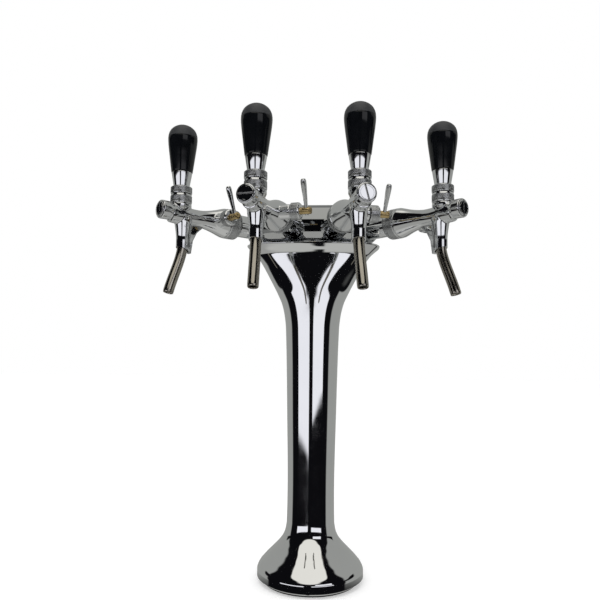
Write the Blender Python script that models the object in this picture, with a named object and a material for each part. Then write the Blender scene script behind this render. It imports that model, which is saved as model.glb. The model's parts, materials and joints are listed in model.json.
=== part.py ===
"""Beer tap tower: a flared column, a crossbar and four compensator taps. Metres, +Z up, front is -Y."""

import math

import bmesh
import bpy
from mathutils import Matrix, Vector

MM = 0.001
GAP = 0.3  # clearance between two touching pieces, mm
WELD = 1e-6  # points closer than this become one, m
ON_AXIS = 1e-6

COLUMN_Y = 56.0  # where the column's axis stands, so that the whole tower is centred in depth

# ---- Foot, column and flared top (mm) ----
GASKET_R = 57.0
GASKET_H = 2.0
FLANGE_R = 60.5
FLANGE_Z = (GASKET_H + GAP, 6.0)
LINE_HOLE_R = 24.0
FOOT_SCREW_R = 2.6
FOOT_SCREW_PCD_R = 46.0
SHELL_WALL = 3.0
ROOF_WALL = 4.0
RIM_Z = 410.0
SHELL_SIDES = 28
# height, half width (X), half depth (Y) of the outer skin
SHELL_SECTIONS = (
    (6.3, 63.2, 63.2),
    (9.0, 64.4, 64.4),
    (13.5, 64.6, 64.6),
    (19.0, 62.6, 62.6),
    (27.0, 56.2, 56.2),
    (36.0, 47.4, 47.4),
    (44.0, 39.6, 39.6),
    (51.0, 34.2, 34.2),
    (59.0, 30.8, 30.8),
    (70.0, 29.2, 29.2),
    (105.0, 28.8, 28.8),
    (200.0, 30.6, 30.6),
    (305.0, 33.6, 33.6),
    (320.0, 35.2, 33.9),
    (335.0, 38.6, 34.1),
    (349.0, 44.6, 34.3),
    (363.0, 51.8, 34.6),
    (378.0, 59.8, 34.9),
    (388.0, 65.6, 35.2),
    (396.0, 71.2, 35.6),
    (400.0, 74.6, 37.2),
    (404.0, 79.0, 40.4),
    (407.5, 83.4, 43.2),
    (409.3, 84.2, 43.0),
    (RIM_Z, 83.2, 42.0),
)
LIP_Z = 390.0  # the lip turns from an ellipse to a squarer outline over its height
LIP_HEIGHT = 17.0
LIP_SQUARENESS = 0.7
ROOF_HALF = (74.5, 36.0)

# ---- Crossbar (mm) ----
BAR_Z = 437.2
BAR_R = 26.8
BAR_WALL = 2.5
BAR_HALF_LENGTH = 86.0
BAR_SIDES = 24
NECK_R = 17.0
NECK_BORE_R = 13.5
NECK_DROP = 12.0
NECK_SIDES = 20

# ---- Layout of the four taps: crossing point on the crossbar, heading, reach to the tap's upright axis ----
TAP_X = (-60.0, -17.5, 17.5, 60.0)
TAP_HEADING = (-44.5, -14.0, 14.0, 44.5)
TAP_REACH = (127.0, 152.6, 152.6, 127.0)
TAP_Z = 430.6

# ---- Tap, measured from its upright axis (Y) and its flow axis (Z), front is -Y (mm) ----
SIDES = 16
FEW_SIDES = 12  # small round pieces and the branches of the cast body
HEAD_RISE = 3.4  # the front head sits this much above the flow axis
SHANK_R = 13.5
SHANK_BORE_R = 5.5
SHANK_INSET = 12.0
NUT_R = 18.2
NUT_Y = (60.3, 77.0)
CONE_END_Y = 60.0
BORE_R = 6.0
PIVOT_Z = 14.0
BALL_R = 6.0
BALL_GAP = 0.5
SEAT_SIDES = 12
COLLAR_R = 12.4
COLLAR_Z = (13.3, 23.2)
DOME_R = 15.6
DOME_GAP = 0.6
NECK_TOP_Z = 17.6
HANDLE_NUT_Z = (24.0, 33.2)
FERRULE_Z = (33.5, 50.0)
GRIP_Z = (50.3, 106.7)
CAP_Y = (-27.4, -23.6)
CAP_R = 9.0
SLOT_W = 1.8
SLOT_D = 1.3
SLOT_TURN = (90.0, 0.0, 75.0, 90.0)
SPOUT_R = 5.9
SPOUT_BORE_R = 4.6
SPOUT_Y = 3.8
SPOUT_PATH = ((0.0, -30.5), (0.0, -49.0), (-11.0, -68.0), (-17.2, -90.3))  # measured from SPOUT_Y
SPOUT_TWIST = (0.0, 15.0, 0.0, 18.0)
SOCKET_BORE_R = 6.6
BOSS_Y = 47.0
BOSS_R = 8.2
BOSS_X = 24.0
FLOW_NUT_X = (24.3, 35.2)
FLOW_NUT_R = 9.8
SPINDLE_R = 4.0
SPINDLE_X = (12.0, 47.2)
LEVER_X = 41.7
LEVER_LEAN = (18.0, 24.0, 32.0, 20.0)
LEVER_LENGTH = 35.0

# ---- Movement used to size the clearances ----
HANDLE_FORWARD = 30.0
HANDLE_BACK = 10.0

CHROME = ((0.78, 0.79, 0.80), 1.0, 0.07)
STEEL = ((0.60, 0.58, 0.54), 1.0, 0.16)
SATIN = ((0.45, 0.46, 0.47), 1.0, 0.35)
BRASS = ((0.72, 0.58, 0.32), 1.0, 0.25)
BLACK = ((0.012, 0.012, 0.014), 0.0, 0.12)
RUBBER = ((0.02, 0.02, 0.02), 0.0, 0.7)


def clear_scene():
    for obj in list(bpy.data.objects):
        bpy.data.objects.remove(obj, do_unlink=True)
    for collection in list(bpy.data.collections):
        bpy.data.collections.remove(collection)


clear_scene()
PARTS = bpy.data.collections.new("beer_tap_tower")
bpy.context.scene.collection.children.link(PARTS)
CUTTERS = bpy.data.collections.new("cutters")
CUTTERS.hide_render = True
bpy.context.scene.collection.children.link(CUTTERS)


def material(name, look):
    colour, metallic, roughness = look
    made = bpy.data.materials.new(name)
    made.use_nodes = True
    shader = made.node_tree.nodes["Principled BSDF"]
    shader.inputs["Base Color"].default_value = (*colour, 1.0)
    shader.inputs["Metallic"].default_value = metallic
    shader.inputs["Roughness"].default_value = roughness
    made.diffuse_color = (*colour, 1.0)
    return made


def object_of(name, mesh, look=None):
    """An object of this mesh: a part with its own material, or a cutter when it has no look."""
    obj = bpy.data.objects.new(name, mesh)
    if look is None:
        obj.hide_render = True
        obj.display_type = "WIRE"
        CUTTERS.objects.link(obj)
    else:
        obj.data.materials.append(material(name, look))
        PARTS.objects.link(obj)
    return obj


def mesh_of(bm, name):
    bmesh.ops.remove_doubles(bm, verts=bm.verts, dist=WELD)
    bmesh.ops.recalc_face_normals(bm, faces=bm.faces)
    mesh = bpy.data.meshes.new(name)
    bm.to_mesh(mesh)
    bm.free()
    return mesh


def lathe(profile, sides=SIDES, axis="Z"):
    """Mesh of a (radius, height) profile spun about Z, then laid along the named axis.

    A profile that starts and ends on the axis is solid, with one face for a flat end; any other is a ring.
    """
    points = list(profile)
    solid = points[0][0] < ON_AXIS
    if solid and abs(points[0][1] - points[1][1]) < ON_AXIS:
        points = points[1:]
    if solid and abs(points[-1][1] - points[-2][1]) < ON_AXIS:
        points = points[:-1]
    bm = bmesh.new()
    corners = [bm.verts.new((radius * MM, 0, height * MM)) for radius, height in points]
    edges = [bm.edges.new(pair) for pair in zip(corners, corners[1:])]
    if not solid:
        edges.append(bm.edges.new((corners[-1], corners[0])))
    turn = 2 * math.pi
    bmesh.ops.spin(bm, geom=corners + edges, axis=(0, 0, 1), angle=turn, steps=sides, use_merge=True)
    bmesh.ops.remove_doubles(bm, verts=bm.verts, dist=WELD)
    bmesh.ops.holes_fill(bm, edges=bm.edges)
    laid = {
        "Z": Matrix.Identity(4),
        "Y": Matrix.Rotation(math.radians(-90), 4, "X"),
        "X": Matrix.Rotation(math.radians(90), 4, "Y"),
    }[axis]
    bmesh.ops.transform(bm, matrix=laid, verts=bm.verts)
    return mesh_of(bm, "lathe")


def rod(radius, start, end, sides=SIDES, axis="Z"):
    """Solid cylinder mesh between two places on the named axis."""
    return lathe(((0, start), (radius, start), (radius, end), (0, end)), sides, axis)


def prism(outline, half_width):
    """Mesh of a (y, z) outline extruded half_width to each side in X."""
    bm = bmesh.new()
    face = bm.faces.new([bm.verts.new((-half_width * MM, y * MM, z * MM)) for y, z in outline])
    grown = bmesh.ops.extrude_face_region(bm, geom=[face])["geom"]
    far = [item for item in grown if isinstance(item, bmesh.types.BMVert)]
    bmesh.ops.translate(bm, vec=(2 * half_width * MM, 0, 0), verts=far)
    return mesh_of(bm, "prism")


def box(low, high):
    """Mesh of a block between two corners."""
    low = Vector(low) * MM
    high = Vector(high) * MM
    bm = bmesh.new()
    bmesh.ops.create_cube(bm, size=1.0)
    bmesh.ops.scale(bm, vec=high - low, verts=bm.verts)
    bmesh.ops.translate(bm, vec=(low + high) / 2, verts=bm.verts)
    return mesh_of(bm, "box")


def ball(radius, centre, sides=16, rings=8):
    bm = bmesh.new()
    bmesh.ops.create_uvsphere(bm, u_segments=sides, v_segments=rings, radius=radius * MM)
    bmesh.ops.translate(bm, vec=Vector(centre) * MM, verts=bm.verts)
    return mesh_of(bm, "ball")


def moved(mesh, x=0.0, y=0.0, z=0.0):
    mesh.transform(Matrix.Translation((x * MM, y * MM, z * MM)))
    return mesh


def combine(target, tools, operation="DIFFERENCE"):
    """Adds an exact Boolean for each tool mesh, then keeps the evaluated mesh and drops the tools."""
    helpers = []
    for index, tool in enumerate(tools):
        helper = object_of(f"tool_{index}", tool)
        helper.matrix_world = target.matrix_world
        modifier = target.modifiers.new(f"cut_{index}", "BOOLEAN")
        modifier.operation = operation
        modifier.solver = "EXACT"
        modifier.object = helper
        helpers.append(helper)
    bpy.context.view_layer.update()
    graph = bpy.context.evaluated_depsgraph_get()
    mesh = bpy.data.meshes.new_from_object(target.evaluated_get(graph))
    mesh.name = target.name
    target.modifiers.clear()
    target.data = mesh
    for helper in helpers:
        bpy.data.objects.remove(helper, do_unlink=True)


def tube_mesh(path, radius, bore, sides=FEW_SIDES, rings=6):
    """Mesh of a round tube swept along a cubic (y, z) path."""
    bm = bmesh.new()
    points = [Vector((0.0, y * MM, z * MM)) for y, z in path]
    loops = []
    for ring in range(rings):
        t = ring / (rings - 1)
        s = 1 - t
        centre = points[0] * s**3 + points[1] * (3 * s * s * t) + points[2] * (3 * s * t * t)
        centre += points[3] * t**3
        along = (points[1] - points[0]) * s * s + (points[2] - points[1]) * 2 * s * t
        along += (points[3] - points[2]) * t * t
        along.normalize()
        across = Vector((1.0, 0.0, 0.0))
        up = along.cross(across)
        loops.append([])
        for size in (radius, bore):
            loop = []
            for step in range(sides):
                turn = 2 * math.pi * step / sides
                out = across * math.cos(turn) + up * math.sin(turn)
                loop.append(bm.verts.new(centre + out * size * MM))
            loops[-1].append(loop)
    for step in range(sides):
        after = (step + 1) % sides
        for skin in (0, 1):
            for lower, upper in zip(loops, loops[1:]):
                bm.faces.new((lower[skin][step], lower[skin][after], upper[skin][after], upper[skin][step]))
        for end in (loops[0], loops[-1]):
            bm.faces.new((end[0][step], end[0][after], end[1][after], end[1][step]))
    return mesh_of(bm, "tube")


# ---- Tower ----
def shell_ring(bm, half_width, half_depth, height):
    """Ring of the column skin: an ellipse that turns squarer in the lip of the flared top."""
    square = 2.0 + min(1.0, max(0.0, (height - LIP_Z) / LIP_HEIGHT)) * LIP_SQUARENESS
    ring = []
    for step in range(SHELL_SIDES):
        turn = 2 * math.pi * step / SHELL_SIDES
        cosine = math.cos(turn)
        sine = math.sin(turn)
        x = half_width * math.copysign(abs(cosine) ** (2 / square), cosine)
        y = half_depth * math.copysign(abs(sine) ** (2 / square), sine)
        ring.append(bm.verts.new((x * MM, y * MM, height * MM)))
    return ring


def build_shell():
    bm = bmesh.new()
    outer = [shell_ring(bm, w, d, z) for z, w, d in SHELL_SECTIONS]
    inner = []
    for z, w, d in SHELL_SECTIONS[:-4:2]:
        inner.append(shell_ring(bm, w - SHELL_WALL, d - SHELL_WALL, z))
    inner.append(shell_ring(bm, *ROOF_HALF, RIM_Z - ROOF_WALL))
    for rings in (outer, inner):
        for lower, upper in zip(rings, rings[1:]):
            for step in range(SHELL_SIDES):
                after = (step + 1) % SHELL_SIDES
                bm.faces.new((lower[step], lower[after], upper[after], upper[step]))
    for step in range(SHELL_SIDES):
        after = (step + 1) % SHELL_SIDES
        bm.faces.new((outer[0][step], outer[0][after], inner[0][after], inner[0][step]))
    bm.faces.new(outer[-1])
    bm.faces.new(inner[-1])
    shell = object_of("tower_shell", mesh_of(bm, "tower_shell"), CHROME)
    combine(shell, [rod(NECK_R + GAP, RIM_Z - 20, RIM_Z + 20, NECK_SIDES)])
    return shell


def build_foot():
    gasket = (
        (LINE_HOLE_R + 1, 0),
        (GASKET_R, 0),
        (GASKET_R, GASKET_H),
        (LINE_HOLE_R + 1, GASKET_H),
    )
    low, high = FLANGE_Z
    profile = (
        (LINE_HOLE_R, low),
        (FLANGE_R - 1.5, low),
        (FLANGE_R, low + 1.2),
        (FLANGE_R, high - 0.8),
        (FLANGE_R - 0.8, high),
        (LINE_HOLE_R, high),
    )
    for name, ring, look in (("base_gasket", gasket, RUBBER), ("base_flange", profile, CHROME)):
        piece = object_of(name, lathe(ring, SHELL_SIDES), look)
        holes = []
        for quarter in range(4):
            turn = math.radians(45 + 90 * quarter)
            place = (FOOT_SCREW_PCD_R * math.cos(turn), FOOT_SCREW_PCD_R * math.sin(turn))
            holes.append(moved(rod(FOOT_SCREW_R, -2, high + 2, 10), *place))
        combine(piece, holes)


def tap_matrix(index):
    """Places a tap with its front turned to the heading; its origin is where upright and flow axes meet."""
    heading = math.radians(TAP_HEADING[index])
    x = TAP_X[index] + TAP_REACH[index] * math.sin(heading)
    y = -TAP_REACH[index] * math.cos(heading)
    return Matrix.Translation((x * MM, y * MM, TAP_Z * MM)) @ Matrix.Rotation(heading, 4, "Z")


def build_crossbar():
    """Closed tube with domed ends, and a hollow neck down into the column top."""
    dome_steps = 4

    def half_profile(radius, half_length):
        centre = half_length - BAR_R
        points = [(0.0, centre + radius)]
        for step in range(1, dome_steps + 1):
            turn = math.radians(90 * step / dome_steps)
            points.append((radius * math.sin(turn), centre + radius * math.cos(turn)))
        return points

    def skin(radius):
        right = half_profile(radius, BAR_HALF_LENGTH)
        left = [(r, -z) for r, z in reversed(right)]
        return lathe(right + left, BAR_SIDES, "X")

    bar = object_of("crossbar", moved(skin(BAR_R), z=BAR_Z), CHROME)
    neck_top = BAR_Z - BAR_R + 6.0
    combine(bar, [rod(NECK_R, RIM_Z - NECK_DROP, neck_top, NECK_SIDES)], "UNION")
    hollow = moved(skin(BAR_R - BAR_WALL), z=BAR_Z)
    combine(bar, [hollow, rod(NECK_BORE_R, RIM_Z - NECK_DROP - 5, BAR_Z, NECK_SIDES)])
    holes = []
    for index in range(4):
        hole = rod(SHANK_R + GAP, 60.0, TAP_REACH[index] - 8.0, SIDES, "Y")
        hole.transform(tap_matrix(index))
        holes.append(hole)
    combine(bar, holes)


# ---- One tap ----
def barrel_profile():
    """Outer skin of the flow barrel: waist and rear cone."""
    return (
        (0, -14),
        (9.4, -14),
        (10.2, -8),
        (10.4, 6),
        (9.9, 20),
        (10.2, 28),
        (11.4, 36),
        (13.6, 45),
        (16.2, 53),
        (17.6, 57),
        (17.8, CONE_END_Y - 1),
        (17.0, CONE_END_Y),
        (0, CONE_END_Y),
    )


def ball_seat(top):
    """Profile of the cup for the lever ball, open straight up to the given height."""
    radius = BALL_R + BALL_GAP
    points = [(0, PIVOT_Z - radius)]
    for step in range(1, 5):
        turn = math.radians(90 * step / 4)
        points.append((radius * math.sin(turn), PIVOT_Z - radius * math.cos(turn)))
    return (*points, (radius, top), (0, top))


def build_body(name, place):
    front, back = CAP_Y
    body = object_of(name, lathe(barrel_profile(), SIDES, "Y"), CHROME)
    head = [(0, front + 0.8), (9.8, front + 0.8), (10.6, front + 1.8), (10.6, -17)]
    head += [(9.2, -12.5), (8.8, -3), (0, -3)]
    neck = ((0, 1), (8.6, 1), (11.2, 7), (12.0, 9), (12.0, 13), (9.4, 13), (9.4, NECK_TOP_Z), (0, NECK_TOP_Z))
    socket = ((0, 2), (10.3, 2), (9.8, -8), (8.3, -17), (7.6, -26), (7.6, -52), (0, -52))
    boss = ((0, 2), (BOSS_R, 2), (BOSS_R, BOSS_X - 1), (BOSS_R - 1, BOSS_X), (0, BOSS_X))
    web = prism(((-2, -6), (34, -6), (27, -13), (11, -44), (2, -44)), 3.2)
    combine(
        body,
        [
            moved(lathe(head, SIDES, "Y"), z=HEAD_RISE),
            lathe(neck),
            moved(lathe(socket, FEW_SIDES), y=SPOUT_Y - 0.4),
            moved(lathe(boss, FEW_SIDES, "X"), y=BOSS_Y),
            web,
        ],
        "UNION",
    )
    combine(body, [prism(((-20, -30.1), (20, -45.5), (20, -70), (-20, -70)), 20)])
    bore = (
        (0, back + 0.5),
        (BORE_R, back + 0.5),
        (BORE_R, 27),
        (7.4, 34),
        (12.6, 56),
        (12.6, CONE_END_Y + 5),
        (0, CONE_END_Y + 5),
    )
    combine(
        body,
        [
            moved(rod(CAP_R + GAP, front - 3, back + 2.5, SIDES, "Y"), z=HEAD_RISE),
            lathe(bore, FEW_SIDES, "Y"),
            lathe(ball_seat(NECK_TOP_Z + 5), SEAT_SIDES),
            prism(((-6.0, 2), (11.2, 2), (6.2, 10.5), (-4.2, 10.5)), 3.2),
            moved(rod(SOCKET_BORE_R, -28.5, -60), y=SPOUT_Y - 0.1),
            moved(rod(4.4, 1, -30.5, 12), y=SPOUT_Y),
            moved(rod(SPINDLE_R + GAP, 6, BOSS_X + 4, 12, "X"), y=BOSS_Y),
        ],
    )
    body.matrix_world = place


def build_spout(name, place, twist):
    spout = object_of(name, tube_mesh(SPOUT_PATH, SPOUT_R, SPOUT_BORE_R), STEEL)
    turned = Matrix.Rotation(math.radians(twist), 4, "Z")
    spout.matrix_world = place @ Matrix.Translation((0, SPOUT_Y * MM, 0)) @ turned


def build_cap(name, place, turn):
    front, back = CAP_Y
    profile = ((0, front), (CAP_R - 0.8, front), (CAP_R, front + 0.8), (CAP_R, back), (0, back))
    cap = object_of(name, lathe(profile, SIDES, "Y"), CHROME)
    slot = box((-CAP_R - 2, front - 2, -SLOT_W / 2), (CAP_R + 2, front + SLOT_D, SLOT_W / 2))
    slot.transform(Matrix.Rotation(math.radians(turn), 4, "Y"))
    combine(cap, [slot])
    cap.matrix_world = place @ Matrix.Translation((0, 0, HEAD_RISE * MM))


def build_collar(name, place):
    """Bonnet: a knurled band with a domed top, hollow for the neck and the ball, slotted for the stem."""
    low, high = COLLAR_Z
    profile = [(9.7, low), (COLLAR_R - 0.5, low), (COLLAR_R, low + 0.5), (COLLAR_R, high)]
    first = math.degrees(math.asin(COLLAR_R / DOME_R))
    for step in range(1, 4):
        turn = math.radians(first * (1 - step / 4))
        profile.append((DOME_R * math.sin(turn), PIVOT_Z + DOME_R * math.cos(turn)))
    profile += [(0, PIVOT_Z + DOME_R), (0, NECK_TOP_Z + GAP), (9.7, NECK_TOP_Z + GAP)]
    collar = object_of(name, lathe(profile), SATIN)
    top = PIVOT_Z + DOME_R + 2
    reach = top - PIVOT_Z
    front = -reach * math.tan(math.radians(HANDLE_FORWARD)) - 5.0
    back = reach * math.tan(math.radians(HANDLE_BACK)) + 4.4
    slot = prism(((-4.4, NECK_TOP_Z - 3), (4.4, NECK_TOP_Z - 3), (back, top), (front, top)), 3.4)
    combine(collar, [ball(BALL_R + BALL_GAP, (0, 0, PIVOT_Z), SEAT_SIDES, 6), slot])
    collar.matrix_world = place


def handle_matrix(place):
    return place @ Matrix.Translation((0, 0, PIVOT_Z * MM))


def build_handle(tap, place):
    """The four turning pieces, each with its origin on the hinge axis at the ball centre."""
    pivot = handle_matrix(place)
    stem_sides = 10
    stem = object_of(f"{tap}_stem", ball(BALL_R, (0, 0, 0), 12, 6), STEEL)
    combine(stem, [rod(2.6, -14.6, -2, stem_sides), rod(3.0, 2, 31.0, stem_sides)], "UNION")

    low, high = (z - PIVOT_Z for z in HANDLE_NUT_Z)
    seat = DOME_R + DOME_GAP
    edge = math.sqrt(seat**2 - (COLLAR_R - 0.4) ** 2)
    profile = [(COLLAR_R - 0.4, edge), (COLLAR_R, edge + 0.3), (COLLAR_R, high - 0.5), (COLLAR_R - 0.5, high)]
    profile += [(3.3, high)]
    last = math.degrees(math.asin((COLLAR_R - 0.4) / seat))
    for step in range(3):
        turn = math.radians(12.0 + (last - 12.0) * step / 3)
        profile.append((seat * math.sin(turn), seat * math.cos(turn)))
    nut = object_of(f"{tap}_handle_nut", lathe(profile), SATIN)

    low, high = (z - PIVOT_Z for z in FERRULE_Z)
    profile = ((3.3, low), (9.0, low), (9.3, low + 1), (11.6, high - 1.0), (11.6, high), (3.3, high))
    ferrule = object_of(f"{tap}_ferrule", lathe(profile), CHROME)

    low, high = (z - PIVOT_Z for z in GRIP_Z)
    profile = (
        (0, low),
        (11.8, low),
        (12.3, low + 1.2),
        (14.3, low + 16.5),
        (16.1, low + 30),
        (16.8, low + 38),
        (16.7, low + 42),
        (15.9, low + 46),
        (13.9, low + 49.9),
        (10.4, low + 53.2),
        (5.6, low + 55.6),
        (0, high),
    )
    grip = object_of(f"{tap}_grip", lathe(profile), BLACK)
    for obj in (stem, nut, ferrule, grip):
        obj.matrix_world = pivot


def build_flow_control(tap, place, tilt):
    near, far = FLOW_NUT_X
    profile = (
        (SPINDLE_R + GAP, near),
        (FLOW_NUT_R - 0.6, near),
        (FLOW_NUT_R, near + 0.6),
        (FLOW_NUT_R, far - 1.6),
        (FLOW_NUT_R - 1.4, far),
        (SPINDLE_R + GAP, far),
    )
    axis = place @ Matrix.Translation((0, BOSS_Y * MM, 0))
    nut = object_of(f"{tap}_flow_nut", lathe(profile, FEW_SIDES, "X"), SATIN)
    near, far = SPINDLE_X
    profile = (
        (0, near),
        (SPINDLE_R - 0.5, near),
        (SPINDLE_R, near + 0.5),
        (SPINDLE_R, far - 0.8),
        (SPINDLE_R - 0.8, far),
        (0, far),
    )
    spindle = object_of(f"{tap}_flow_spindle", lathe(profile, 12, "X"), BRASS)
    shaft_r = 2.1
    combine(spindle, [moved(rod(shaft_r + GAP, -9, 9, 10), x=LEVER_X)])
    profile = (
        (0, -5.2),
        (1.6, -5.2),
        (shaft_r, -4.6),
        (shaft_r, 6),
        (2.5, 16),
        (3.1, 25),
        (3.2, LEVER_LENGTH - 4),
        (2.6, LEVER_LENGTH - 1.4),
        (1.2, LEVER_LENGTH - 0.1),
        (0, LEVER_LENGTH),
    )
    lever = object_of(f"{tap}_flow_lever", moved(lathe(profile, 10), x=LEVER_X), CHROME)
    nut.matrix_world = axis
    lean = Matrix.Rotation(math.radians(tilt), 4, "X")
    for obj in (spindle, lever):
        obj.matrix_world = axis @ lean


def build_piston(name, place):
    """Valve piston: guide with the notch for the lever arm, rod, sealing disc and compensator cone."""
    profile = (
        (0, -17),
        (4.8, -17),
        (5.2, -16.4),
        (5.2, 9),
        (2.4, 11),
        (2.4, 28),
        (5.2, 29),
        (5.2, 33),
        (5.0, 36),
        (1.2, 51),
        (0, 51),
    )
    piston = object_of(name, lathe(profile, 12, "Y"), STEEL)
    notch = prism(((-6.2, 8), (-6.2, -1.6), (4.2, -1.6), (4.2, 8)), 8)
    combine(piston, [notch])
    piston.matrix_world = place


def build_tap(index):
    tap = f"tap{index + 1}"
    place = tap_matrix(index)
    build_body(f"{tap}_body", place)
    build_cap(f"{tap}_cap", place, SLOT_TURN[index])
    build_spout(f"{tap}_spout", place, SPOUT_TWIST[index])
    build_collar(f"{tap}_collar", place)
    build_handle(tap, place)
    build_flow_control(tap, place, LEVER_LEAN[index])
    build_piston(f"{tap}_piston", place)

    low, high = NUT_Y
    bore = SHANK_R + GAP
    profile = (
        (bore, low),
        (NUT_R - 0.8, low),
        (NUT_R, low + 0.8),
        (NUT_R, high - 2.0),
        (NUT_R - 2.0, high),
        (bore, high),
    )
    nut = object_of(f"{tap}_coupling_nut", lathe(profile, SIDES, "Y"), SATIN)
    nut.matrix_world = place

    end = TAP_REACH[index] - SHANK_INSET
    start = NUT_Y[0] + 0.2
    profile = ((SHANK_BORE_R, start), (SHANK_R, start), (SHANK_R, end), (SHANK_BORE_R, end))
    shank = object_of(f"shank_{index + 1}", lathe(profile, SIDES, "Y"), CHROME)
    shank.matrix_world = place


build_foot()
build_shell()
build_crossbar()
for tap_index in range(4):
    build_tap(tap_index)
for part in PARTS.objects:
    part.matrix_world = Matrix.Translation((0, COLUMN_Y * MM, 0)) @ part.matrix_world
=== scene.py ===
"""Looks of the beer tap tower: chrome column and crossbar, four taps with black grips, soft studio light."""

import json
import math

import bmesh
import bpy
from mathutils import Matrix, Vector


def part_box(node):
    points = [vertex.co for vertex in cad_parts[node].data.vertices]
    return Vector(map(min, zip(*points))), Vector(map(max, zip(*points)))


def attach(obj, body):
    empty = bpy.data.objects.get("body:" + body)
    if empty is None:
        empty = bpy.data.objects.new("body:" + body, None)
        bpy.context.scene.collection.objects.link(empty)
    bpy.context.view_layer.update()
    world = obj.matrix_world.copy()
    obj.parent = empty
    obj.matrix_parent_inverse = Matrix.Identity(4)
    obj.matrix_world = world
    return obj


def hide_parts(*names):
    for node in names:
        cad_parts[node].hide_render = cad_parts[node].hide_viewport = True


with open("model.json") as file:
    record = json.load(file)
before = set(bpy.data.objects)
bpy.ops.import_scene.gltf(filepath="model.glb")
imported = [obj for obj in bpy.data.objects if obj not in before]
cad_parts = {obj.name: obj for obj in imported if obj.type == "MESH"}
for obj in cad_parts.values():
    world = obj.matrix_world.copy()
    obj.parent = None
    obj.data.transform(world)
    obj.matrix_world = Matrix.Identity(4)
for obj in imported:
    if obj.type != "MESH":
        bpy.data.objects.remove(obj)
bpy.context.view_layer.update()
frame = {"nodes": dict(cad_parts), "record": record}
MM = 0.001
WELD = 1e-7
ON_AXIS = 1e-6
FINE = 96  # sides of a large round piece
SMALL = 64  # sides of a small round piece
SMOOTH_ANGLE = math.radians(32)

# ---- Places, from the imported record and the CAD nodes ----
COLUMN = Vector(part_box("base_flange")[0]).lerp(Vector(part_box("base_flange")[1]), 0.5)
COLUMN.z = 0.0
PIVOT_Z = 14.0  # lever ball above the flow axis, mm
BOSS_Y = 47.0
HEAD_RISE = 3.4
SPOUT_Y = 3.8
CAP_TURN = (90.0, 0.0, 75.0, 90.0)
SPOUT_TWIST = (0.0, 15.0, 0.0, 18.0)
LEVER_LEAN = (18.0, 24.0, 32.0, 20.0)
LEVER_X = 41.7
TAP_REACH = (127.0, 152.6, 152.6, 127.0)  # from the crossbar's upright axis plane to each tap
SHANK_INSET = 12.0


def tap_place(index):
    """The tap's own frame: X to its side boss, Z up, origin where its upright axis meets its flow axis."""
    joints = frame["record"]["behaviour"]["joints"]
    joint = next(entry for entry in joints if entry["name"] == f"handle_{index + 1}_tilt")
    side = Vector(joint["axis"])
    up = Vector((0.0, 0.0, 1.0))
    back = up.cross(side)
    turned = Matrix((side, back, up)).transposed().to_4x4()
    return Matrix.Translation(Vector(joint["pos_m"]) - up * PIVOT_Z * MM) @ turned


# ---- Materials ----
def new_material(name, colour, metallic, roughness):
    made = bpy.data.materials.new(name)
    made.use_nodes = True
    shader = made.node_tree.nodes["Principled BSDF"]
    shader.inputs["Base Color"].default_value = (*colour, 1.0)
    shader.inputs["Metallic"].default_value = metallic
    shader.inputs["Roughness"].default_value = roughness
    return made, made.node_tree, shader


def coordinates(tree, scale):
    """Object coordinates stretched by the given scale."""
    source = tree.nodes.new("ShaderNodeTexCoord")
    mapping = tree.nodes.new("ShaderNodeMapping")
    mapping.inputs["Scale"].default_value = scale
    tree.links.new(source.outputs["Object"], mapping.inputs["Vector"])
    return mapping.outputs["Vector"]


def noise(tree, scale, detail=3.0, stretch=(1.0, 1.0, 1.0)):
    node = tree.nodes.new("ShaderNodeTexNoise")
    node.inputs["Scale"].default_value = scale
    node.inputs["Detail"].default_value = detail
    tree.links.new(coordinates(tree, stretch), node.inputs["Vector"])
    return node.outputs["Fac"]


def spread(tree, value, low, high, start=0.3, end=0.7):
    """Maps a texture value from start..end to low..high."""
    node = tree.nodes.new("ShaderNodeMapRange")
    node.inputs["From Min"].default_value = start
    node.inputs["From Max"].default_value = end
    node.inputs["To Min"].default_value = low
    node.inputs["To Max"].default_value = high
    tree.links.new(value, node.inputs["Value"])
    return node.outputs["Result"]


def tint(tree, shader, value, dark, light):
    """Varies the base colour between two tones."""
    ramp = tree.nodes.new("ShaderNodeValToRGB")
    ramp.color_ramp.elements[0].color = (*dark, 1.0)
    ramp.color_ramp.elements[1].color = (*light, 1.0)
    ramp.color_ramp.elements[0].position = 0.3
    ramp.color_ramp.elements[1].position = 0.7
    tree.links.new(value, ramp.inputs["Fac"])
    tree.links.new(ramp.outputs["Color"], shader.inputs["Base Color"])


def bump(tree, shader, value, strength, distance, under=None):
    """Adds a bump, optionally on top of another one, and returns its normal."""
    node = tree.nodes.new("ShaderNodeBump")
    node.inputs["Strength"].default_value = strength
    node.inputs["Distance"].default_value = distance
    tree.links.new(value, node.inputs["Height"])
    if under is not None:
        tree.links.new(under, node.inputs["Normal"])
    tree.links.new(node.outputs["Normal"], shader.inputs["Normal"])
    return node.outputs["Normal"]


def chrome(name, colour=(0.84, 0.85, 0.86), wipe=(1.0, 1.0, 0.08)):
    """Polished chrome with faint wiping marks, smudges and hairline scratches."""
    made, tree, shader = new_material(name, colour, 1.0, 0.04)
    smudge = noise(tree, 55.0, 4.0)
    tree.links.new(spread(tree, smudge, 0.022, 0.075), shader.inputs["Roughness"])
    tint(tree, shader, noise(tree, 30.0), tuple(c * 0.97 for c in colour), colour)
    hair = noise(tree, 900.0, 2.0, wipe)
    under = bump(tree, shader, hair, 0.035, 0.00004)
    bump(tree, shader, noise(tree, 2600.0, 1.0), 0.012, 0.00003, under)
    return made


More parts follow.
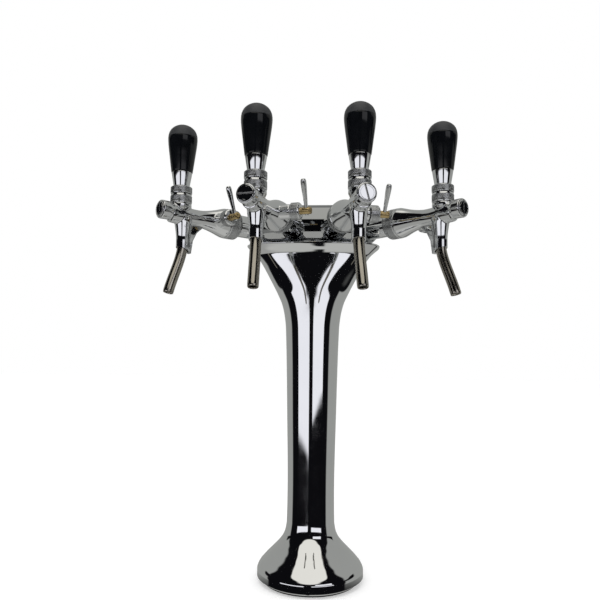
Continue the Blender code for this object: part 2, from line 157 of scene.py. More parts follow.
def brushed(name, colour, roughness, grain, strength=0.12):
    """Turned or drawn metal with fine lines across the stretched axis."""
    made, tree, shader = new_material(name, colour, 1.0, roughness)
    lines = noise(tree, 420.0, 2.0, grain)
    patches = noise(tree, 90.0, 4.0)
    tree.links.new(spread(tree, patches, roughness * 0.8, roughness * 1.3), shader.inputs["Roughness"])
    tint(tree, shader, lines, tuple(c * 0.86 for c in colour), colour)
    if strength:
        bump(tree, shader, lines, strength, 0.00005)
    return made


def plastic(name, colour, roughness, texture, distance, gloss=0.5):
    """Moulded plastic with a fine surface texture and handling marks."""
    made, tree, shader = new_material(name, colour, 0.0, roughness)
    shader.inputs["Specular IOR Level"].default_value = gloss
    patches = noise(tree, 70.0, 4.0)
    tree.links.new(spread(tree, patches, roughness * 0.75, roughness * 1.35), shader.inputs["Roughness"])
    tint(tree, shader, patches, colour, tuple(c * 1.5 for c in colour))
    bump(tree, shader, noise(tree, texture, 2.0), 0.25, distance)
    return made


CHROME = chrome("tower_chrome_look")
TAP_CHROME = chrome("tap_chrome_look", (0.82, 0.83, 0.84), (1.0, 0.1, 1.0))
CAP_CHROME = chrome("cap_chrome_look", (0.84, 0.85, 0.86), (1.0, 0.2, 1.0))
SPOUT = brushed("spout_steel_look", (0.47, 0.44, 0.385), 0.15, (1.0, 0.2, 0.12), 0.0)
KNURL = brushed("knurled_steel_look", (0.52, 0.53, 0.54), 0.22, (1.0, 1.0, 1.0), 0.08)
SATIN = brushed("slot_satin_look", (0.55, 0.55, 0.55), 0.45, (1.0, 1.0, 1.0), 0.1)
# The crossbar's chrome has a much darker base colour than the other chrome: painted shade standing in for
# the dark reflections seen on the bar.
PAINTED_DARK_BAR_CHROME = chrome("crossbar_chrome_painted_dark_look", (0.38, 0.39, 0.40))
STEEL = brushed("inner_steel_look", (0.60, 0.58, 0.54), 0.25, (0.1, 1.0, 1.0))
BRASS = brushed("flow_brass_look", (0.60, 0.45, 0.22), 0.18, (1.0, 0.1, 0.1))
GRIP = plastic("grip_gloss_look", (0.0022, 0.0025, 0.0032), 0.08, 900.0, 0.000004, 0.36)
DOME = plastic("grip_dome_look", (0.022, 0.023, 0.025), 0.42, 2200.0, 0.00004)
RUBBER = plastic("gasket_rubber_look", (0.012, 0.012, 0.012), 0.75, 1500.0, 0.0001)


# ---- Mesh helpers, in millimetres ----
def rounded(profile, radius=0.5, steps=3):
    """Replaces each inner corner of a (radius, height) profile with a small arc."""
    points = [Vector(point) for point in profile]
    out = [points[0]]
    for before, corner, after in zip(points, points[1:], points[2:]):
        back = before - corner
        ahead = after - corner
        size = min(radius, back.length * 0.45, ahead.length * 0.45)
        start = corner + back.normalized() * size
        end = corner + ahead.normalized() * size
        for step in range(steps + 1):
            t = step / steps
            out.append(start * (1 - t) ** 2 + corner * (2 * t * (1 - t)) + end * t * t)
    out.append(points[-1])
    return [tuple(point) for point in out]


def through(points, steps=6):
    """A smooth curve through all the points."""
    dense = []
    for index in range(len(points) - 1):
        p0 = Vector(points[max(index - 1, 0)])
        p1 = Vector(points[index])
        p2 = Vector(points[index + 1])
        p3 = Vector(points[min(index + 2, len(points) - 1)])
        for step in range(steps):
            t = step / steps
            part = p1 * 2 + (p2 - p0) * t + (p0 * 2 - p1 * 5 + p2 * 4 - p3) * t * t
            dense.append(tuple((part + (p1 * 3 - p0 - p2 * 3 + p3) * t**3) / 2))
    dense.append(tuple(points[-1]))
    return dense


def flowing(sections, steps):
    """A smooth curve through unevenly spaced (height, ...) sections, without overshoot."""
    heights = [section[0] for section in sections]
    slopes = []
    for index in range(len(sections)):
        low = max(index - 1, 0)
        high = min(index + 1, len(sections) - 1)
        row = []
        for low_value, value, high_value in zip(sections[low], sections[index], sections[high]):
            before = (value - low_value) / (heights[index] - heights[low]) if index > low else None
            after = (high_value - value) / (heights[high] - heights[index]) if high > index else None
            before = after if before is None else before
            after = before if after is None else after
            same = before * after > 0
            row.append(2 * before * after / (before + after) if same else 0.0)
        slopes.append(row)
    dense = []
    for index in range(len(sections) - 1):
        gap = heights[index + 1] - heights[index]
        for step in range(steps):
            t = step / steps
            rows = zip(sections[index], sections[index + 1], slopes[index], slopes[index + 1])
            dense.append(
                tuple(
                    a * (1 + 2 * t) * (1 - t) ** 2
                    + b * t * t * (3 - 2 * t)
                    + (m * t * (1 - t) ** 2 - n * t * t * (1 - t)) * gap
                    for a, b, m, n in rows
                )
            )
    dense.append(tuple(sections[-1]))
    return dense


def finished(bm):
    bmesh.ops.remove_doubles(bm, verts=bm.verts, dist=WELD)
    bmesh.ops.recalc_face_normals(bm, faces=bm.faces)
    mesh = bpy.data.meshes.new("mesh")
    bm.to_mesh(mesh)
    bm.free()
    mesh.shade_smooth()
    mesh.set_sharp_from_angle(angle=SMOOTH_ANGLE)
    return mesh


LAID = {
    "Z": Matrix.Identity(4),
    "Y": Matrix.Rotation(math.radians(-90), 4, "X"),
    "X": Matrix.Rotation(math.radians(90), 4, "Y"),
}


def lathe(profile, sides=SMALL, axis="Z", knurl=None):
    """Turns a (radius, height) profile; knurl = (low, high, depth, count) cuts diamonds into that band."""
    ring = profile[0][0] > ON_AXIS
    bm = bmesh.new()
    corners = [bm.verts.new((r * MM, 0, h * MM)) for r, h in profile]
    edges = [bm.edges.new(pair) for pair in zip(corners, corners[1:])]
    if ring:
        edges.append(bm.edges.new((corners[-1], corners[0])))
    if knurl:
        sides = knurl[3] * 4
    turn = 2 * math.pi
    bmesh.ops.spin(bm, geom=corners + edges, axis=(0, 0, 1), angle=turn, steps=sides, use_merge=True)
    bmesh.ops.remove_doubles(bm, verts=bm.verts, dist=WELD)
    if knurl:
        low, high, depth, count = knurl
        outer = max(r for r, h in profile)
        pitch = 2 * math.pi * outer / count
        for vert in bm.verts:
            radius = math.hypot(vert.co.x, vert.co.y) / MM
            height = vert.co.z / MM
            if radius > outer - 0.01 and low - 0.01 <= height <= high + 0.01:
                u = count * math.atan2(vert.co.y, vert.co.x) / turn
                v = (height - low) / pitch
                falls = [1 - abs(2 * ((u + sign * v) % 1.0) - 1) for sign in (1, -1)]
                size = 1 - depth * (1 - min(falls)) / radius
                vert.co.x *= size
                vert.co.y *= size
        for face in bm.faces:
            middle = face.calc_center_median()
            radius = math.hypot(middle.x, middle.y) / MM
            inside = low < middle.z / MM < high and radius > outer - 2 * depth
            face.material_index = int(inside)
    bmesh.ops.transform(bm, matrix=LAID[axis], verts=bm.verts)
    mesh = finished(bm)
    if knurl:
        mesh.materials.append(TAP_CHROME)
        mesh.materials.append(KNURL)
    return mesh


def band(radius, low, high, count):
    """Profile points up a knurled band, four for each diamond."""
    step = 2 * math.pi * radius / count / 4
    rows = max(4, 2 * int((high - low) / step / 2))
    return [(radius, low + (high - low) * row / rows) for row in range(rows + 1)]


def extrusion(outline, half_width):
    """A (y, z) outline extruded to both sides in X."""
    bm = bmesh.new()
    face = bm.faces.new([bm.verts.new((-half_width * MM, y * MM, z * MM)) for y, z in outline])
    grown = bmesh.ops.extrude_face_region(bm, geom=[face])["geom"]
    far = [item for item in grown if isinstance(item, bmesh.types.BMVert)]
    bmesh.ops.translate(bm, vec=(2 * half_width * MM, 0, 0), verts=far)
    return finished(bm)


def shifted(mesh, x=0.0, y=0.0, z=0.0):
    mesh.transform(Matrix.Translation((x * MM, y * MM, z * MM)))
    return mesh


def joined(meshes):
    """One mesh that holds all of these."""
    bm = bmesh.new()
    for mesh in meshes:
        bm.from_mesh(mesh)
    return finished(bm)


def scratch_object(mesh):
    obj = bpy.data.objects.new("scratch", mesh)
    bpy.context.scene.collection.objects.link(obj)
    return obj


def applied(obj):
    """The evaluated mesh of a scratch object, which is then removed."""
    bpy.context.view_layer.update()
    graph = bpy.context.evaluated_depsgraph_get()
    mesh = bpy.data.meshes.new_from_object(obj.evaluated_get(graph))
    bpy.data.objects.remove(obj, do_unlink=True)
    mesh.shade_smooth()
    mesh.set_sharp_from_angle(angle=SMOOTH_ANGLE)
    return mesh


def cut(mesh, cutters):
    """The mesh with each cutter taken away."""
    target = scratch_object(mesh)
    tools = []
    for cutter in cutters:
        tool = scratch_object(cutter)
        modifier = target.modifiers.new("cut", "BOOLEAN")
        modifier.solver = "EXACT"
        modifier.object = tool
        tools.append(tool)
    result = applied(target)
    for tool in tools:
        bpy.data.objects.remove(tool, do_unlink=True)
    return result


def cast(meshes, voxel=0.55, rounds=8):
    """Overlapping shapes fused into one casting with small fillets where they meet."""
    obj = scratch_object(joined(meshes))
    remesh = obj.modifiers.new("fuse", "REMESH")
    remesh.mode = "VOXEL"
    remesh.voxel_size = voxel * MM
    smooth = obj.modifiers.new("fillet", "SMOOTH")
    smooth.factor = 0.5
    smooth.iterations = rounds
    return applied(obj)


def piece(name, mesh, look, body, replaced, place=None):
    """Adds a finished piece that rides on its body and stands for its CAD node."""
    obj = bpy.data.objects.new(name, mesh)
    bpy.context.scene.collection.objects.link(obj)
    if not mesh.materials:
        mesh.materials.append(look)
    if place is not None:
        obj.matrix_world = place
    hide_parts(*replaced)
    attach(obj, body)
    return obj


# ---- Tower ----
SHELL_SECTIONS = (
    (6.3, 64.6, 64.6),
    (9.0, 64.6, 64.6),
    (13.5, 64.6, 64.6),
    (19.0, 62.6, 62.6),
    (27.0, 56.2, 56.2),
    (36.0, 47.4, 47.4),
    (44.0, 39.6, 39.6),
    (51.0, 34.2, 34.2),
    (59.0, 30.8, 30.8),
    (70.0, 29.2, 29.2),
    (105.0, 28.8, 28.8),
    (200.0, 30.6, 30.6),
    (305.0, 33.6, 33.6),
    (320.0, 35.2, 33.9),
    (335.0, 38.6, 34.1),
    (349.0, 44.6, 34.3),
    (363.0, 51.8, 34.4),
    (378.0, 59.8, 34.4),
    (388.0, 65.6, 34.4),
    (397.0, 71.9, 34.5),
    (400.0, 74.6, 36.4),
    (404.0, 79.0, 40.2),
    (407.5, 83.2, 43.0),
)
RIM_Z = 410.0
LIP_Z = 345.0  # the lip turns from an ellipse to a squarer outline over its height
LIP_HEIGHT = 50.0
LIP_SQUARENESS = 0.8
ROOF_HALF = (74.5, 36.0)
ROOF_WALL = 4.0
SHELL_WALL = 3.0
NECK_HOLE_R = 17.3
SHELL_SIDES = 160


def shell_ring(bm, height, half_width, half_depth):
    t = min(1.0, max(0.0, (height - LIP_Z) / LIP_HEIGHT))
    square = 2.0 + t * t * (3 - 2 * t) * LIP_SQUARENESS
    ring = []
    for step in range(SHELL_SIDES):
        turn = 2 * math.pi * step / SHELL_SIDES
        cosine = math.cos(turn)
        sine = math.sin(turn)
        x = half_width * math.copysign(abs(cosine) ** (2 / square), cosine)
        y = half_depth * math.copysign(abs(sine) ** (2 / square), sine)
        ring.append(bm.verts.new((x * MM, y * MM, height * MM)))
    return ring


def shell_mesh():
    """The cast column: outer skin, rounded rim, roof with the neck hole, and a hollow inside."""
    bm = bmesh.new()
    outer = flowing(SHELL_SECTIONS, 8)
    outer += [(408.6, 84.0, 43.2), (409.4, 84.1, 43.1), (RIM_Z, 83.2, 42.2)]
    inner = [(h, w - SHELL_WALL, d - SHELL_WALL) for h, w, d in SHELL_SECTIONS[:-3]]
    inner.append((RIM_Z - ROOF_WALL, *ROOF_HALF))
    rings = [shell_ring(bm, *section) for section in outer]
    rings.append(shell_ring(bm, RIM_Z, NECK_HOLE_R, NECK_HOLE_R))
    rings.append(shell_ring(bm, RIM_Z - ROOF_WALL, NECK_HOLE_R, NECK_HOLE_R))
    rings += [shell_ring(bm, *section) for section in reversed(inner)]
    for lower, upper in zip(rings, rings[1:] + rings[:1]):
        for step in range(SHELL_SIDES):
            after = (step + 1) % SHELL_SIDES
            bm.faces.new((lower[step], lower[after], upper[after], upper[step]))
    return finished(bm)


def build_tower():
    place = Matrix.Translation(COLUMN)
    gasket = rounded(((25, 0), (57, 0), (57, 2.0), (25, 2.0), (25, 0)), 0.4)[:-1]
    holes = []
    for quarter in range(4):
        turn = math.radians(45 + 90 * quarter)
        hole = lathe(((0, -2), (2.6, -2), (2.6, 8), (0, 8)), 24)
        holes.append(shifted(hole, 46 * math.cos(turn), 46 * math.sin(turn)))
    mesh = cut(lathe(gasket, FINE), [hole.copy() for hole in holes])
    piece("gasket_ring", mesh, RUBBER, "tower", ["base_gasket"], place)
    flange = ((24, 2.3), (59.2, 2.3), (60.5, 3.4), (60.5, 5.3), (59.8, 6.0), (24, 6.0), (24, 2.3))
    mesh = cut(lathe(rounded(flange, 0.5)[:-1], 128), holes)
    piece("foot_ring", mesh, CHROME, "tower", ["base_flange"], place)
    piece("column_shell", shell_mesh(), CHROME, "tower", ["tower_shell"], place)

    bar_r = 26.8
    half_length = 86.0
    bar_z = 437.2
    straight = half_length - bar_r
    points = []
    for step in range(25):
        turn = math.radians(90 * step / 24)
        points.append((bar_r * math.sin(turn), straight + bar_r * math.cos(turn)))
    points += [(r, -h) for r, h in reversed(points)]
    bar = shifted(lathe(points, 128, "X"), z=bar_z)
    neck = lathe(rounded(((0, 398), (17, 398), (17, 418), (0, 418)), 0.4), FINE)
    # The crossbar takes the darkened chrome, painted shade for its dark reflections.
    piece("crossbar_tube", joined([bar, neck]), PAINTED_DARK_BAR_CHROME, "tower", ["crossbar"], place)


# ---- Tap meshes, in the tap's own frame ----
CAP_FRONT = -27.4
CAP_BACK = -23.6
CAP_R = 9.0
CONE_END = 60.0


def body_mesh():
    barrel = through(
        (
            (9.6, -14),
            (10.1, -8),
            (10.4, 4),
            (9.9, 20),
            (10.3, 28),
            (11.6, 36),
            (13.8, 45),
            (16.3, 53),
            (17.8, 58),
        )
    )
    barrel = [(0, -14)] + barrel + [(17.8, CONE_END - 0.3), (17.2, CONE_END), (0, CONE_END)]
    head = ((0, -26.6), (10.2, -26.6), (10.7, -25.6), (10.6, -17), (9.3, -12.5), (8.9, -3), (0, -3))
    neck = ((0, 1), (8.6, 1), (11.0, 7), (12.0, 9), (12.0, 13), (9.4, 13), (9.4, 17.6), (0, 17.6))
    socket = through(((10.4, 0), (10.0, -8), (8.6, -17), (7.7, -25), (7.6, -33), (7.7, -52)))
    socket = [(0, 0)] + socket + [(0, -52)]
    boss = ((0, 2), (8.2, 2), (8.2, 23), (7.4, 24.0), (0, 24.0))
    web = ((-2, -6), (36, -6), (28, -11.4), (20.5, -18), (15.4, -28), (12.8, -46), (2, -46))
    mesh = cast(
        [
            lathe(barrel, SMALL, "Y"),
            shifted(lathe(head, SMALL, "Y"), z=HEAD_RISE),
            lathe(neck),
            shifted(lathe(socket), y=SPOUT_Y - 0.2),
            shifted(lathe(boss, SMALL, "X"), y=BOSS_Y),
            extrusion(web, 3.5),
        ]
    )
    trim = extrusion(((-22, -29.3), (22, -46.3), (22, -70), (-22, -70)), 20)
    seat_r = CAP_R + 0.3
    seat_front = CAP_FRONT - 4
    seat_back = CAP_BACK + 2.5
    seat = ((0, seat_front), (seat_r, seat_front), (seat_r, seat_back), (0, seat_back))
    bore = ((0, -60), (6.6, -60), (6.6, -28.5), (4.2, -26), (4.2, -5), (0, -5))
    rear = ((0, 45), (8, 45), (12.6, 56), (12.6, 66), (0, 66))
    top = ((0, 7.5), (4.6, 8.5), (6.5, 14), (6.5, 22), (0, 22))
    cutters = [
        trim,
        shifted(lathe(seat, SMALL, "Y"), z=HEAD_RISE),
        shifted(lathe(bore, SMALL), y=SPOUT_Y - 0.1),
        lathe(rear, SMALL, "Y"),
        lathe(top, SMALL),
    ]
    return cut(mesh, cutters)


def cap_mesh(turn):
    face = [(0, CAP_FRONT - 0.15), (4.0, CAP_FRONT - 0.1), (6.7, CAP_FRONT - 0.05), (6.95, CAP_FRONT + 0.4)]
    face += [(7.2, CAP_FRONT - 0.05), (CAP_R, CAP_FRONT)]
    rim = rounded([face[-2], face[-1], (CAP_R, CAP_BACK)], 0.7, 5)
    disc = lathe(face[:-1] + rim[1:] + [(0, CAP_BACK)], SMALL, "Y")
    outline = ((-2, -1.3), (-0.35, -1.05), (1.5, -0.95), (1.5, 0.95), (-0.35, 1.05), (-2, 1.3))
    slot = shifted(extrusion(outline, 20), y=CAP_FRONT)
    slot.transform(Matrix.Rotation(math.radians(turn), 4, "Y"))
    mesh = cut(disc, [slot])
    mesh.materials.append(CAP_CHROME)
    mesh.materials.append(SATIN)
    for polygon in mesh.polygons:
        centre = polygon.center / MM
        inside = math.hypot(centre.x, centre.z) < CAP_R - 0.5
        polygon.material_index = int(inside and CAP_FRONT + 0.3 < centre.y < CAP_BACK - 0.3)
    return mesh


SPOUT_PATH = ((0.0, -30.5), (0.0, -49.0), (-11.0, -68.0), (-17.2, -90.3))


def spout_mesh():
    """Bent tube with a rounded lip at its open end."""
    path = [Vector((0.0, y, z)) for y, z in SPOUT_PATH]
    outside = ((5.97, 0.0), (5.97, 0.965), (5.8, 0.992), (5.4, 1.0))
    skins = (*outside, (5.05, 1.0), (4.7, 0.992), (4.6, 0.965), (4.6, 0.0))
    stops = []
    for (size, start), (after, end) in zip(skins, skins[1:]):
        steps = 40 if abs(end - start) > 0.5 else 1
        for step in range(steps):
            t = step / steps
            stops.append((size + (after - size) * t, start + (end - start) * t))
    stops.append(skins[-1])
    bm = bmesh.new()
    rings = []
    for size, t in stops:
        s = 1 - t
        centre = path[0] * s**3 + path[1] * 3 * s * s * t + path[2] * 3 * s * t * t + path[3] * t**3
        along = (path[1] - path[0]) * s * s + (path[2] - path[1]) * 2 * s * t + (path[3] - path[2]) * t * t
        across = Vector((1.0, 0.0, 0.0))
        up = along.normalized().cross(across)
        ring = []
        for step in range(SMALL):
            turn = 2 * math.pi * step / SMALL
            out = across * math.cos(turn) + up * math.sin(turn)
            ring.append(bm.verts.new((centre + out * size) * MM))
        rings.append(ring)
    for lower, upper in zip(rings, rings[1:] + rings[:1]):
        for step in range(SMALL):
            after = (step + 1) % SMALL
            bm.faces.new((lower[step], lower[after], upper[after], upper[step]))
    return finished(bm)


COLLAR_R = 12.4
DOME_R = 15.6
COLLAR_KNURLS = 44


def collar_mesh():
    """Lower knurled ring with the dome that the handle turns on."""
    knurled = band(COLLAR_R, 14.6, 21.8, COLLAR_KNURLS)
    profile = [(9.7, 13.3), (11.5, 13.3), (11.95, 13.6), (12.0, 14.3)] + knurled
    profile += [(12.0, 22.2), (11.9, 23.3)]
    for step in range(1, 9):
        turn = math.asin(11.9 / DOME_R) * (1 - step / 9)
        profile.append((DOME_R * math.sin(turn), PIVOT_Z + DOME_R * math.cos(turn)))
    profile += [(0.8, PIVOT_Z + DOME_R), (0.8, 17.9), (9.7, 17.9)]
    solid = lathe(profile, knurl=(14.6, 21.8, 0.45, COLLAR_KNURLS))
    slot = extrusion(((-4.4, 14.6), (4.4, 14.6), (8, 31.6), (-15.2, 31.6)), 3.4)
    return cut(solid, [slot])


def handle_nut_mesh():
    """Upper knurled ring, dished underneath to follow the dome. Heights from the pivot."""
    seat = DOME_R + 0.6
    top = 33.2 - PIVOT_Z
    edge = math.sqrt(seat**2 - 12.0**2)
    low, high = edge + 0.9, top - 1.1
    knurled = band(COLLAR_R, low, high, COLLAR_KNURLS)
    profile = [(12.0, edge), (12.1, edge + 0.4)] + knurled
    profile += [(12.0, high + 0.4), (11.6, top - 0.3), (11.0, top), (3.3, top)]
    last = math.degrees(math.asin(12.0 / seat))
    for step in range(9):
        turn = math.radians(12.0 + (last - 12.0) * step / 9)
        profile.append((seat * math.sin(turn), seat * math.cos(turn)))
    return lathe(profile, knurl=(low, high, 0.45, COLLAR_KNURLS))


def ferrule_mesh():
    low = 33.5 - PIVOT_Z
    high = 50.0 - PIVOT_Z
    profile = (
        (3.3, low),
        (8.9, low),
        (9.1, low + 0.4),
        (11.7, high - 0.5),
        (11.5, high),
        (3.3, high),
    )
    return lathe([(3.3, low)] + rounded(profile, 0.3)[1:])


def grip_mesh():
    """Tapered grip: gloss body, satin dome that starts just above the widest place."""
    low = 50.3 - PIVOT_Z
    side = through(
        (
            (12.3, low + 1.0),
            (13.3, low + 8.5),
            (14.4, low + 17),
            (16.1, low + 30),
            (16.8, low + 38),
            (16.7, low + 42),
            (15.9, low + 46),
            (13.9, low + 49.9),
            (10.4, low + 53.2),
            (5.6, low + 55.6),
            (0, low + 56.4),
        ),
        8,
    )
    seam = low + 41.0
    profile = [(0, low), (11.6, low), (12.1, low + 0.3)]
    for radius, height in side:
        near = abs(height - seam)
        profile.append((radius - (0.12 if near < 0.35 else 0.0), height))
    profile[-1] = (0, profile[-1][1])
    mesh = lathe(profile, FINE)
    mesh.materials.append(GRIP)
    mesh.materials.append(DOME)
    for polygon in mesh.polygons:
        polygon.material_index = int(polygon.center.z > seam * MM)
    return mesh


def flow_nut_mesh():
    low, high = 25.1, 33.4
    count = 36
    knurled = band(9.8, low, high, count)
    profile = [(4.3, 24.3), (9.0, 24.3), (9.5, 24.7)] + knurled
    profile += [(9.3, 33.9), (8.3, 35.0), (7.9, 35.2), (4.3, 35.2)]
    return lathe(profile, axis="X", knurl=(low, high, 0.42, count))


def spindle_mesh():
    """Brass spindle with turned grooves; the lever's hole is cut through it."""
    profile = [(0, 12.0), (3.5, 12.0), (4.0, 12.5), (4.0, 36.3), (3.6, 36.6), (3.6, 37.2), (4.0, 37.5)]
    profile += [(4.0, 45.2), (3.7, 45.4), (3.7, 45.9), (4.0, 46.1), (4.0, 46.6), (3.3, 47.2), (1.2, 47.2)]
    profile += [(0.9, 46.8), (0, 46.8)]
    hole = shifted(lathe(((0, -9), (2.4, -9), (2.4, 9), (0, 9)), 32), x=LEVER_X)
    return cut(lathe(rounded(profile, 0.15), SMALL, "X"), [hole])


def lever_mesh():
    stalk = ((2.1, -4.6), (2.1, 4), (2.15, 8), (2.5, 16), (3.0, 24), (3.2, 30))
    tip = ((3.0, 33), (2.2, 34.6), (1.1, 34.95))
    side = through(stalk + tip)
    profile = [(0, -5.2), (1.6, -5.2)] + side + [(0, 35.0)]
    return shifted(lathe(profile, 48), x=LEVER_X)


def coupling_nut_mesh():
    low, high = 61.6, 74.6
    count = 60
    knurled = band(18.2, low, high, count)
    profile = [(13.8, 60.3), (17.0, 60.3), (17.7, 60.7), (17.8, 61.2)] + knurled
    profile += [(17.6, 75.0), (17.0, 75.4), (16.2, 76.6), (15.6, 77.0), (13.8, 77.0)]
    return lathe(profile, axis="Y", knurl=(low, high, 0.5, count))


def build_taps():
    body = body_mesh()
    spout = spout_mesh()
    collar = collar_mesh()
    nut = handle_nut_mesh()
    ferrule = ferrule_mesh()
    grip = grip_mesh()
    flow_nut = flow_nut_mesh()
    spindle = spindle_mesh()
    lever = lever_mesh()
    coupling = coupling_nut_mesh()
    for index, reach in enumerate(TAP_REACH):
        number = index + 1
        tap = f"tap{number}"
        place = tap_place(index)
        pivot = place @ Matrix.Translation((0, 0, PIVOT_Z * MM))
        head = place @ Matrix.Translation((0, 0, HEAD_RISE * MM))
        outlet = place @ Matrix.Translation((0, SPOUT_Y * MM, 0))
        outlet = outlet @ Matrix.Rotation(math.radians(SPOUT_TWIST[index]), 4, "Z")
        flow = place @ Matrix.Translation((0, BOSS_Y * MM, 0))
        leaning = flow @ Matrix.Rotation(math.radians(LEVER_LEAN[index]), 4, "X")
        handle = f"handle_{number}"
        end = reach - SHANK_INSET
        pipe = [(5.5, 60.5), (13.0, 60.5), (13.5, 61.0)]
        pipe += [(13.5, end - 0.5), (13.0, end), (5.5, end), (5.5, 60.5)]
        shank = lathe(rounded(pipe, 0.3)[:-1], FINE, "Y")
        shank.transform(place)
        casting = body.copy()
        casting.transform(place)
        rows = (
            ("casting", casting, TAP_CHROME, "tower", "body", "tap_chrome", None),
            ("plug", cap_mesh(CAP_TURN[index]), CAP_CHROME, "tower", "cap", "cap_chrome", head),
            ("outlet", spout, SPOUT, "tower", "spout", "spout_steel", outlet),
            ("bonnet", collar, KNURL, "tower", "collar", "knurled_steel", place),
            ("grip_nut", nut, KNURL, handle, "handle_nut", "knurled_steel", pivot),
            ("cone", ferrule, TAP_CHROME, handle, "ferrule", "tap_chrome", pivot),
            ("knob", grip, GRIP, handle, "grip", "grip_black", pivot),
            ("side_nut", flow_nut, KNURL, "tower", "flow_nut", "knurled_steel", flow),
            ("spindle", spindle, BRASS, f"flow_{number}", "flow_spindle", "flow_brass", leaning),
            ("flow_arm", lever, TAP_CHROME, f"flow_{number}", "flow_lever", "tap_chrome", leaning),
            ("pipe_nut", coupling, KNURL, "tower", "coupling_nut", "knurled_steel", place),
        )
        for label, mesh, look, rides, node, slot, where in rows:
            piece(f"{tap}_{label}_skin", mesh, look, rides, [f"{tap}_{node}"], where)
        piece(f"pipe_{number}_skin", shank, CHROME, "tower", [f"shank_{number}"])
        for node in ("stem", "piston"):
            inner = frame["nodes"][f"{tap}_{node}"]
            inner.data.materials.clear()
            inner.data.materials.append(STEEL)


# ---- Studio ----
BLACK = (0.004, 0.004, 0.005)
WALL_GREY = (0.34, 0.345, 0.33)
TABLE_GREY = (0.36, 0.36, 0.345)
GROUND_GREY = (0.50, 0.50, 0.48)
BOX_WHITE = (0.95, 0.95, 1.0)
OVERHEAD_CREAM = (0.88, 0.86, 0.80)
ARCH_FOOT = 24.0  # degrees up where the overhead light starts straight ahead
ARCH_SPREAD = 0.009  # how fast that rises to the sides, in degrees for each square degree
# Soft boxes, in degrees: left and right edge, lower edge at each of those, upper edge
SOFT_BOXES = (
    (-61.0, -10.0, -10.3, -12.2, 3.0),
    (6.0, 53.0, -9.4, -6.7, 3.0),
    (14.0, 50.0, 10.0, 10.0, 24.0),
)


def build_floor():
    bm = bmesh.new()
    bmesh.ops.create_grid(bm, x_segments=1, y_segments=1, size=6.0)
    floor = bpy.data.objects.new("floor", finished(bm))
    bpy.context.scene.collection.objects.link(floor)
    made, tree, shader = new_material("floor_look", (0.72, 0.72, 0.72), 0.0, 0.9)
    shader.inputs["Emission Color"].default_value = (1.0, 1.0, 1.0, 1.0)
    shader.inputs["Emission Strength"].default_value = 0.33
    floor.data.materials.append(made)
    floor.visible_glossy = False


class Sky:
    """Builds the studio surroundings as a function of direction."""

    def __init__(self, tree):
        self.tree = tree

    def math(self, operation, first, second=None):
        node = self.tree.nodes.new("ShaderNodeMath")
        node.operation = operation
        for socket, value in zip(node.inputs, (first, second)):
            if isinstance(value, (int, float)):
                socket.default_value = value
            elif value is not None:
                self.tree.links.new(value, socket)
        return node.outputs["Value"]

    def rise(self, value, start, end):
        """0 before start, 1 after end, smooth between."""
        node = self.tree.nodes.new("ShaderNodeMapRange")
        node.interpolation_type = "SMOOTHSTEP"
        node.inputs["From Min"].default_value = start
        node.inputs["From Max"].default_value = end
        self.tree.links.new(value, node.inputs["Value"])
        return node.outputs["Result"]

    def window(self, value, low, high, soft):
        inside = self.rise(value, low - soft, low + soft)
        beyond = self.rise(value, high - soft, high + soft)
        return self.math("SUBTRACT", inside, beyond)

    def blend(self, amount, under, colour):
        """Lays a colour over what is under it by the amount."""
        node = self.tree.nodes.new("ShaderNodeMix")
        node.data_type = "RGBA"
        sockets = [socket for socket in node.inputs if socket.type == "RGBA"]
        self.tree.links.new(amount, node.inputs["Factor"])
        if isinstance(under, tuple):
            sockets[0].default_value = (*under, 1.0)
        else:
            self.tree.links.new(under, sockets[0])
        sockets[1].default_value = (*colour, 1.0)
        return next(socket for socket in node.outputs if socket.type == "RGBA")


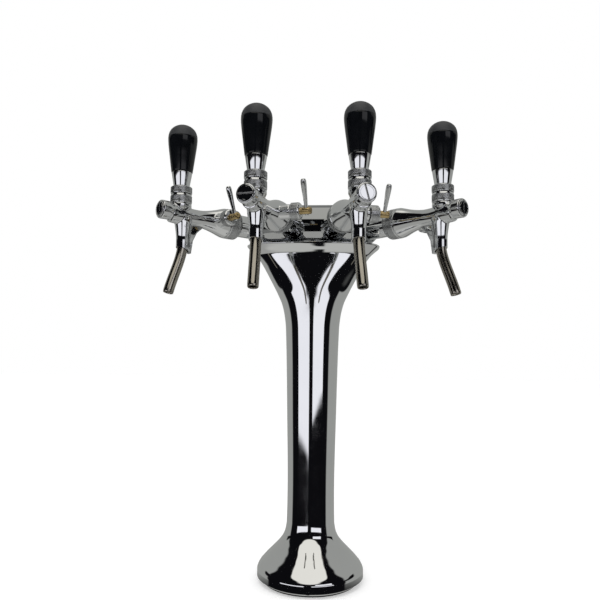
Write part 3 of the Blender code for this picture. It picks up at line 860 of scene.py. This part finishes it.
def build_world():
    """White surroundings for the camera and for soft light; mirrors see a dark room with soft boxes."""
    world = bpy.data.worlds.new("studio")
    bpy.context.scene.world = world
    world.use_nodes = True
    world.cycles.sampling_method = "NONE"
    tree = world.node_tree
    sky = Sky(tree)
    source = tree.nodes.new("ShaderNodeTexCoord")
    split = tree.nodes.new("ShaderNodeSeparateXYZ")
    tree.links.new(source.outputs["Generated"], split.inputs["Vector"])
    x, y, z = (split.outputs[name] for name in ("X", "Y", "Z"))
    degrees = 180 / math.pi
    around = sky.math("MULTIPLY", sky.math("ARCTAN2", x, sky.math("MULTIPLY", y, -1.0)), degrees)
    height = sky.math("MULTIPLY", sky.math("ARCSINE", z), degrees)
    aside = sky.math("ABSOLUTE", around)

    upward = sky.math("SUBTRACT", sky.rise(height, 9.5, 10.5), sky.rise(height, 17.0, 18.0))
    left_edge = sky.math("ADD", sky.math("MULTIPLY", upward, 15.0), 97.0)
    right_edge = sky.math("ADD", sky.math("MULTIPLY", upward, 30.0), 82.0)
    to_right = sky.rise(around, -0.5, 0.5)
    to_left = sky.math("SUBTRACT", 1.0, to_right)
    right_edge = sky.math("MULTIPLY", to_right, right_edge)
    edge = sky.math("ADD", right_edge, sky.math("MULTIPLY", to_left, left_edge))
    past_edge = sky.rise(sky.math("SUBTRACT", aside, edge), -3.0, 3.0)
    wide = sky.math("MULTIPLY", past_edge, sky.rise(height, -21.0, -19.0))
    colour = sky.blend(wide, BLACK, WALL_GREY)
    below = sky.math("MULTIPLY", height, -1.0)
    colour = sky.blend(sky.rise(below, 24.0, 32.0), colour, TABLE_GREY)
    colour = sky.blend(sky.rise(below, 56.0, 66.0), colour, GROUND_GREY)
    patch = sky.math("MULTIPLY", sky.window(around, -6.5, 1.5, 1.5), sky.window(below, 20.0, 74.0, 2.0))
    colour = sky.blend(patch, colour, BLACK)
    for left, right, left_low, right_low, high in SOFT_BOXES:
        slope = (right_low - left_low) / (right - left)
        edge = sky.math("ADD", sky.math("MULTIPLY", around, slope), left_low - slope * left)
        over = sky.rise(sky.math("SUBTRACT", height, edge), -0.5, 0.5)
        under = sky.math("SUBTRACT", 1.0, sky.rise(height, high - 0.5, high + 0.5))
        tall = sky.math("MULTIPLY", over, under)
        inside = sky.math("MULTIPLY", sky.window(around, left, right, 0.5), tall)
        colour = sky.blend(inside, colour, BOX_WHITE)
    square = sky.math("MULTIPLY", around, around)
    arch = sky.math("ADD", sky.math("MULTIPLY", square, ARCH_SPREAD), ARCH_FOOT)
    above = sky.rise(sky.math("SUBTRACT", height, arch), 0.0, 5.0)
    above = sky.math("MULTIPLY", above, sky.window(around, -72.0, 72.0, 4.0))
    above = sky.math("MAXIMUM", above, sky.rise(height, 66.0, 74.0))
    colour = sky.blend(above, colour, OVERHEAD_CREAM)

    rays = tree.nodes.new("ShaderNodeLightPath")
    plain = sky.math("SUBTRACT", 1.0, rays.outputs["Is Glossy Ray"])
    colour = sky.blend(plain, colour, (1.0, 1.0, 1.0))
    background = tree.nodes["Background"]
    tree.links.new(colour, background.inputs["Color"])
    background.inputs["Strength"].default_value = 1.0


def build_light():
    data = bpy.data.lights.new("overhead", "AREA")
    data.shape = "DISK"
    data.size = 1.2
    data.energy = 9.0
    lamp = bpy.data.objects.new("overhead", data)
    bpy.context.scene.collection.objects.link(lamp)
    lamp.location = (-0.3, -0.8, 1.9)
    aim = Vector((0.0, 0.0, 0.25)) - lamp.location
    lamp.rotation_euler = aim.to_track_quat("-Z", "Y").to_euler()
    lamp.visible_glossy = False


def build_camera():
    """Eye level with the middle of the column, looking slightly up and from the right."""
    data = bpy.data.cameras.new("camera")
    data.lens = 36.0
    data.sensor_width = 36.0
    data.clip_start = 0.01
    yaw, pitch, roll = (math.radians(value) for value in (3.9, 5.0, 0.7))
    ahead = Vector((-math.sin(yaw) * math.cos(pitch), math.cos(yaw) * math.cos(pitch), math.sin(pitch)))
    right = Vector((math.cos(yaw), math.sin(yaw), 0.0))
    up = right.cross(ahead)
    leaning = right * math.cos(roll) + up * math.sin(roll)
    upright = up * math.cos(roll) - right * math.sin(roll)
    camera = bpy.data.objects.new("camera", data)
    bpy.context.scene.collection.objects.link(camera)
    turned = Matrix((leaning, upright, -ahead)).transposed().to_4x4()
    camera.matrix_world = Matrix.Translation((0.0355, -0.7038, 0.2752)) @ turned
    bpy.context.scene.camera = camera


build_tower()
build_taps()
build_floor()
build_world()
build_light()
build_camera()
bpy.context.scene.view_settings.view_transform = "Standard"
